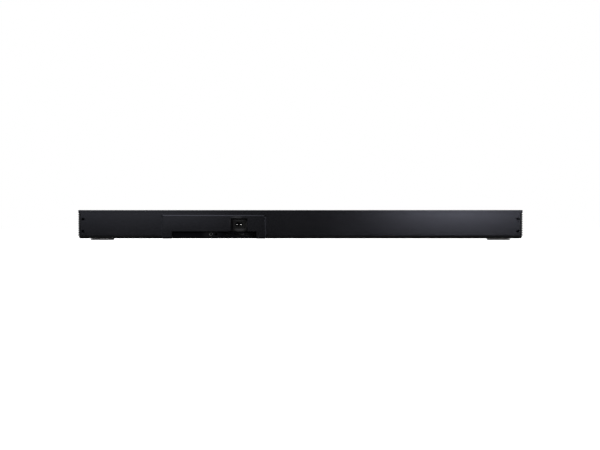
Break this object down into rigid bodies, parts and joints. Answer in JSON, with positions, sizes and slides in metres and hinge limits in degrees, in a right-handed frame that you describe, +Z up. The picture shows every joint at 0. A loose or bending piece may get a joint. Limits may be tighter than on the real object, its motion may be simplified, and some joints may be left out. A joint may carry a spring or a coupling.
{
  "type": "soundbar",
  "caption": "Long low soundbar with ribbed end grilles, flat rear panel, raised connector cover over a recessed socket bay, mains pocket, skid feet.",
  "frame": {"origin": "on the table, under the middle of the bar", "axes": "+X along the bar towards the connector bay, -Y towards the listener (front grille), +Z up"},
  "size_m": [0.95, 0.12, 0.064],
  "materials": {
    "shell_plastic": "satin, fine texture, faintly blue black",
    "tray_plastic": "matt black",
    "grille_plastic": "matt black",
    "speaker_cloth": "black knitted acoustic cloth",
    "foot_rubber": "matt black",
    "surround_rubber": "matt black",
    "key_plastic": "satin black",
    "inner_plastic": "moulded black",
    "socket_plastic": "moulded black",
    "black_steel": "black coated steel",
    "bright_metal": "nickel plated",
    "magnet_steel": "zinc plated",
    "fin_aluminium": "extruded",
    "cone_polymer": "thin moulded polymer",
    "circuit_board": "green solder mask",
    "winding_tape": "amber tape over ferrite",
    "clear_plastic": "smoked clear",
    "cable_jacket": "black flexible sheath"
  },
  "bodies": {
    "casing": {"audio_jacks": "socket_plastic", "baffle": "inner_plastic", "bottom_tray": "tray_plastic", "connector_cover": "shell_plastic", "display_board": "circuit_board", "display_input_socket": "bright_metal", "display_output_socket": "bright_metal", "driver_left_basket": "black_steel", "driver_left_magnet": "magnet_steel", "driver_left_surround": "surround_rubber", "driver_right_basket": "black_steel", "driver_right_magnet": "magnet_steel", "driver_right_surround": "surround_rubber", "end_grille_left": "grille_plastic", "end_grille_right": "grille_plastic", "foot_pad_front_left": "foot_rubber", "foot_pad_front_right": "foot_rubber", "foot_pad_rear_left": "foot_rubber", "foot_pad_rear_right": "foot_rubber", "front_grille": "grille_plastic", "grille_cloth": "speaker_cloth", "heat_sink": "fin_aluminium", "inlet_pin_left": "bright_metal", "inlet_pin_right": "bright_metal", "jack_plate": "black_steel", "key_board": "circuit_board", "main_board": "circuit_board", "mains_inlet": "socket_plastic", "mains_lead": "cable_jacket", "optical_socket": "socket_plastic", "port_tube_left": "inner_plastic", "port_tube_right": "inner_plastic", "power_board": "circuit_board", "rear_cover": "shell_plastic", "rear_screw_left_high": "black_steel", "rear_screw_left_low": "black_steel", "rear_screw_right_high": "black_steel", "rear_screw_right_low": "black_steel", "recess_pan": "inner_plastic", "service_socket": "bright_metal", "skid_foot_left": "tray_plastic", "skid_foot_right": "tray_plastic", "speaker_box_left": "inner_plastic", "speaker_box_right": "inner_plastic", "speaker_lead_left": "cable_jacket", "speaker_lead_right": "cable_jacket", "status_lens": "clear_plastic", "top_panel": "shell_plastic", "transformer": "winding_tape", "tweeter_left_body": "inner_plastic", "tweeter_right_body": "inner_plastic"},
    "key_power": {"key_power": "key_plastic"},
    "key_source": {"key_source": "key_plastic"},
    "key_volume_down": {"key_volume_down": "key_plastic"},
    "key_volume_up": {"key_volume_up": "key_plastic"},
    "cone_left": {"driver_left_cone": "cone_polymer"},
    "dome_left": {"tweeter_left_dome": "cone_polymer"},
    "cone_right": {"driver_right_cone": "cone_polymer"},
    "dome_right": {"tweeter_right_dome": "cone_polymer"},
    "shutter": {"optical_shutter": "socket_plastic"}
  },
  "joints": [
    {"name": "key_power_press", "type": "slide", "parent": "casing", "child": "key_power", "axis": [0, 0, -1], "range_m": [0, 0.0005], "stiffness_N_per_m": 700, "springref_m": -0.0002},
    {"name": "key_source_press", "type": "slide", "parent": "casing", "child": "key_source", "axis": [0, 0, -1], "range_m": [0, 0.0005], "stiffness_N_per_m": 700, "springref_m": -0.0002},
    {"name": "key_volume_down_press", "type": "slide", "parent": "casing", "child": "key_volume_down", "axis": [0, 0, -1], "range_m": [0, 0.0005], "stiffness_N_per_m": 700, "springref_m": -0.0002},
    {"name": "key_volume_up_press", "type": "slide", "parent": "casing", "child": "key_volume_up", "axis": [0, 0, -1], "range_m": [0, 0.0005], "stiffness_N_per_m": 700, "springref_m": -0.0002},
    {"name": "driver_left_stroke", "type": "slide", "parent": "casing", "child": "cone_left", "axis": [0, -1, 0], "range_m": [-0.003, 0.003], "stiffness_N_per_m": 1000, "deforming": ["driver_left_surround"]},
    {"name": "tweeter_left_stroke", "type": "slide", "parent": "casing", "child": "dome_left", "axis": [0, -1, 0], "range_m": [-0.0003, 0.0003], "stiffness_N_per_m": 2000},
    {"name": "driver_right_stroke", "type": "slide", "parent": "casing", "child": "cone_right", "axis": [0, -1, 0], "range_m": [-0.003, 0.003], "stiffness_N_per_m": 1000, "deforming": ["driver_right_surround"]},
    {"name": "tweeter_right_stroke", "type": "slide", "parent": "casing", "child": "dome_right", "axis": [0, -1, 0], "range_m": [-0.0003, 0.0003], "stiffness_N_per_m": 2000},
    {"name": "optical_shutter_hinge", "type": "hinge", "parent": "casing", "child": "shutter", "pos_m": [0.0999, 0.0267, 0.0161], "axis": [-1, 0, 0], "range_deg": [0, 82], "stiffness_Nm_per_rad": 0.0004, "springref_deg": -20.05}
  ]
}
